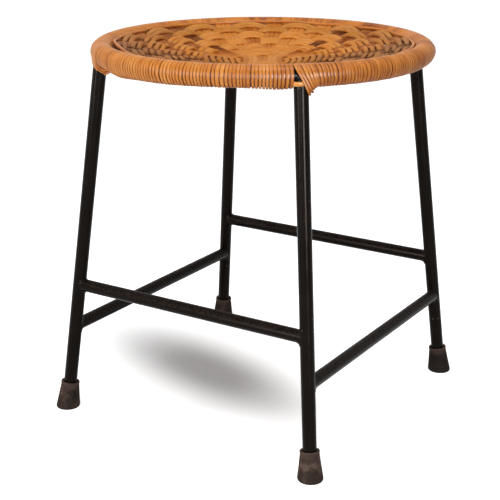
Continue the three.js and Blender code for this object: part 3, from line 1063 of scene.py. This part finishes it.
def stake_path(offset, spoke, lift):
    """In from the rim along one spoke, round into the bundle, and out again the other side."""
    outer = rim_inside + 0.8 * mm
    half = [spoke_point(outer + (weave_start - outer) * step / 10, spoke) for step in range(11)]
    bend = Vector((offset / math.tan(spoke), offset))
    entry = bend + Vector((math.cos(spoke), math.sin(spoke))) * corner_cut
    leave = bend - Vector((corner_cut, 0))
    for step in range(9):
        share = step / 8
        flat = entry.lerp(bend, share).lerp(bend.lerp(leave, share), share)
        height = dish_height(flat.length) + lift * on_bundle(flat.length)
        half.append(Vector((flat.x, flat.y, height)))
    half.append(Vector((0, offset, dish_height(offset) + lift)))
    return half + [Vector((-point.x, point.y, point.z)) for point in reversed(half[:-1])]


# %% Short stakes
short_start, short_length, short_steps = 42, 134.8, 12


def beside(reach):
    """How far a short stake lies from its spoke, both in mm."""
    return min(2.0 + 0.1 * (reach - short_start), 1.2 + 0.049 * reach, 6.2)


def short_stake(angle, way, tint):
    """A strand that lies beside a spoke, on one side of it, and grows wider outwards."""
    side = Vector((-math.sin(angle), math.cos(angle), 0)) * way
    reaches = [short_start + short_length * step / short_steps for step in range(short_steps + 1)]
    line = [spoke_point(reach * mm, angle) + side * beside(reach) * mm for reach in reaches]
    short = straight_strand(134 * mm, 5 * mm, 2.6 * mm, 11 * mm, sides=6, tint=tint)
    for vertex in short.data.vertices:
        reach = vertex.co.x / mm + 109
        vertex.co.y *= min(max(0.0196 * reach - 0.36, 1), 1.6)
    return lay_along(short, line)


# %% Two crossing bundles
stakes_per_bundle = 8
stake_gap = 5.6 * mm
bundles = {"across": (weave_turn, -bundle_lift), "along": (weave_turn + math.pi / 2, bundle_lift)}
for bundle, (turn, lift) in bundles.items():
    for number in range(stakes_per_bundle):
        order = number - (stakes_per_bundle - 1) / 2
        spoke = order * math.tau / spokes
        tint = chance.uniform(0.4, 0.7)
        # the middle stakes of the upper bundle stay as light as the crossing out to the rim
        # the rest are given a darker tint outwards, as painted shade between the strands
        painted_shade_tint = tint - 0.1 if bundle == "along" and abs(order) < 3 else tint - 0.36
        stake = straight_strand(2 * rim_inside, 5.4 * mm, 2.8 * mm, 7 * mm, tint=tint)
        for vertex in stake.data.vertices:
            vertex.co.y *= 1 + 0.25 * math.exp(-((vertex.co.x / (40 * mm)) ** 4))
        lay_along(stake, stake_path(order * stake_gap, spoke, lift))
        whole = join([stake] + [
            short_stake(angle, way, painted_shade_tint) for angle in (spoke, math.pi - spoke) for way in (-1, 1)
        ])
        # painted shade: from 45 mm out, the tint fades to the darker one over 40 mm
        for point, vertex in zip(whole.data.attributes["tint"].data, whole.data.vertices):
            fade = min(max(vertex.co.to_2d().length / mm - 45, 0) / 40, 1)
            point.value = tint + (painted_shade_tint - tint) * fade
        place(whole, Matrix.Rotation(turn, 4, "Z"))
        set_painted_shade(whole.data, shade_and_dirt_scale=0.4)
        finish(
            whole, f"reed_stake_{bundle}_{number + 1}", "reed", woven_cane,
            f"stake_{bundle}_{number + 1}", smooth=80,
        )

# %% [markdown]
# ## Strand along the inner edge
# One thin strand of cane hides the corner between the rim and the weave. It is a torus in a slow
# wave. At one place, at the left, it has come off the rim and lies a little further in.

# %% Strand along the inner edge
edge_radius, edge_height, edge_rows = 175.9 * mm, 445 * mm, 240
loose_place, loose_reach, loose_width, loose_rise = 228, 16, 4.5 * mm, 2 * mm
edge_strand = torus(
    edge_radius, 1.7 * mm, edge_rows, strand_sides, location=(0, 0, edge_height),
)
for number, vertex in enumerate(edge_strand.data.vertices):
    turn = math.tau * (number // strand_sides) / edge_rows
    vertex.co.z += 0.5 * mm * math.sin(7 * turn) + 0.3 * mm * math.sin(17 * turn + 1)
    off = math.exp(-(((turn - math.radians(loose_place)) / math.radians(loose_reach)) ** 2))
    vertex.co.x -= loose_width * off * math.cos(turn)
    vertex.co.y -= loose_width * off * math.sin(turn)
    vertex.co.z += loose_rise * off
set_strand_uv(edge_strand.data, math.tau * edge_radius, strip_girth)
store_value(edge_strand.data, "tint", 0.45)
finish(edge_strand, "edge_strand", "binding_cane", binding_cane, "rim_edge_strand", smooth=80)
bpy.data.objects.remove(turn_of_cane)

# %% [markdown]
# ## A hair out of level
# The binding and the weave sit a hair lower at the left of the photograph than at the right, by
# about a third of a degree. All wound and woven pieces are tipped together round the line of sight.

# %% Tip the wound and woven pieces
tip_angle = math.radians(0.3)
seat_drop = 0.4 * mm
tip = (
    Matrix.Translation((0, 0, ring_height - seat_drop))
    @ Matrix.Rotation(tip_angle, 4, towards_camera.to_3d())
    @ Matrix.Translation((0, 0, -ring_height))
)
seat_pieces = ("binding_", "leg_binding_", "loose_lashing", "woven_", "reed_stake_", "edge_strand")
for item in list(bpy.data.objects):
    if item.name.startswith(seat_pieces):
        place(item, tip)

# %% [markdown]
# ## Floor and world
# The stool stands on a white floor that melts into a white background, with a soft shadow under
# the seat. A white floor renders pale grey, so it has a little light of its own, for the camera and
# for reflections only, and more of it away from the stool. It stays white to the edge of the
# picture, while the shadow still shows. The world does the same: it is white to the camera and in
# reflections, and lights the stool at a much lower level.

# %% Floor
def seen_directly(tree):
    """1 for the camera and for reflections, and 0 for light on the stool."""
    rays = add(tree, "LightPath")
    seen = add(tree, "Math", {
        0: rays.outputs["Is Camera Ray"], 1: rays.outputs["Is Glossy Ray"],
    }, operation="MAXIMUM")
    return add(tree, "Math", {0: seen, 1: rays.outputs["Is Transmission Ray"]}, operation="MAXIMUM")


bpy.ops.mesh.primitive_plane_add(size=14)
floor = bpy.context.object
floor.name = "floor"
floor_paint, tree, shader = new_material("white studio floor")
# distance from an oval pool of shadow, 320 by 120 mm, turned a little
pool = add(tree, "Mapping", {
    "Vector": add(tree, "TexCoord").outputs["Object"],
    "Location": (-0.085, 0.006, 0), "Rotation": (0, 0, -0.3), "Scale": (0.16, 0.06, 1),
}, vector_type="TEXTURE")
distance = add(tree, "VectorMath", {0: pool}, operation="LENGTH")
level = add(tree, "MapRange", {
    "Value": distance,
    "From Min": 0.2, "From Max": 1.8, "To Min": 0.0, "To Max": 0.8,
}, interpolation_type="SMOOTHSTEP")
glow = add(tree, "Math", {0: seen_directly(tree), 1: level}, operation="MULTIPLY")
connect(shader, {
    "Base Color": (0.76, 0.76, 0.76, 1), "Roughness": 0.9, "Specular IOR Level": 0.0,
    "Emission Color": (1, 1, 1, 1), "Emission Strength": glow,
})
floor.data.materials.append(floor_paint)
print("floor:", round(floor.dimensions.x), "m wide")

# %% World
world = bpy.data.worlds.new("studio")
bpy.context.scene.world = world
world.use_nodes = True
strength = add(world.node_tree, "MapRange", {
    "Value": seen_directly(world.node_tree), "To Min": 0.28, "To Max": 1.0,
})
connect(world.node_tree.nodes["Background"], {"Color": (1, 1, 1, 1), "Strength": strength})

# %% [markdown]
# ## Lamps
# The key light is a long softbox over the stool that points away from the camera, so the shadow is
# wide and shallow. A large front light fills the side that the camera sees, and a weak strip at the
# left lights the edges that face it. A lamp bright enough for the long thin streaks on the legs
# would spoil the seat, so two softboxes are seen only as reflections in the lacquer and the cane.

# %% Lamps
def softbox(name, where, target, width, height, power, turn=0.0):
    data = bpy.data.lights.new(name, "AREA")
    data.shape = "RECTANGLE"
    data.size, data.size_y = width, height
    data.energy = power
    lamp = new_object(name, data)
    facing = (Vector(where) - Vector(target)).to_track_quat("Z", "Y")
    lamp.matrix_world = (
        Matrix.Translation(where) @ facing.to_matrix().to_4x4() @ Matrix.Rotation(turn, 4, "Z")
    )
    return lamp


away = math.atan2(ahead.y, ahead.x)
softbox("key", (0.5, -0.15, 3.0), (0, 0, 0.44), 2.0, 0.7, 43, turn=away)
softbox("front fill", (0.6, -2.55, 0.9), (0, 0, 0.35), 1.2, 1.0, 42)
softbox("left strip", (-2.0, -1.3, 0.9), (0, 0, 0.25), 0.3, 1.6, 9)
front_leg_top = (0.13, -0.14, 0.5)
for name, where, width, power in (
    ("right streak", (2.29, -1.59, 0.8), 0.7, 150), ("left streak", (-0.84, -2.55, 0.8), 0.5, 50),
):
    streak = softbox(name, where, front_leg_top, width, 1.3, power)
    streak.visible_diffuse = False
bpy.context.scene.view_settings.view_transform = "Standard"
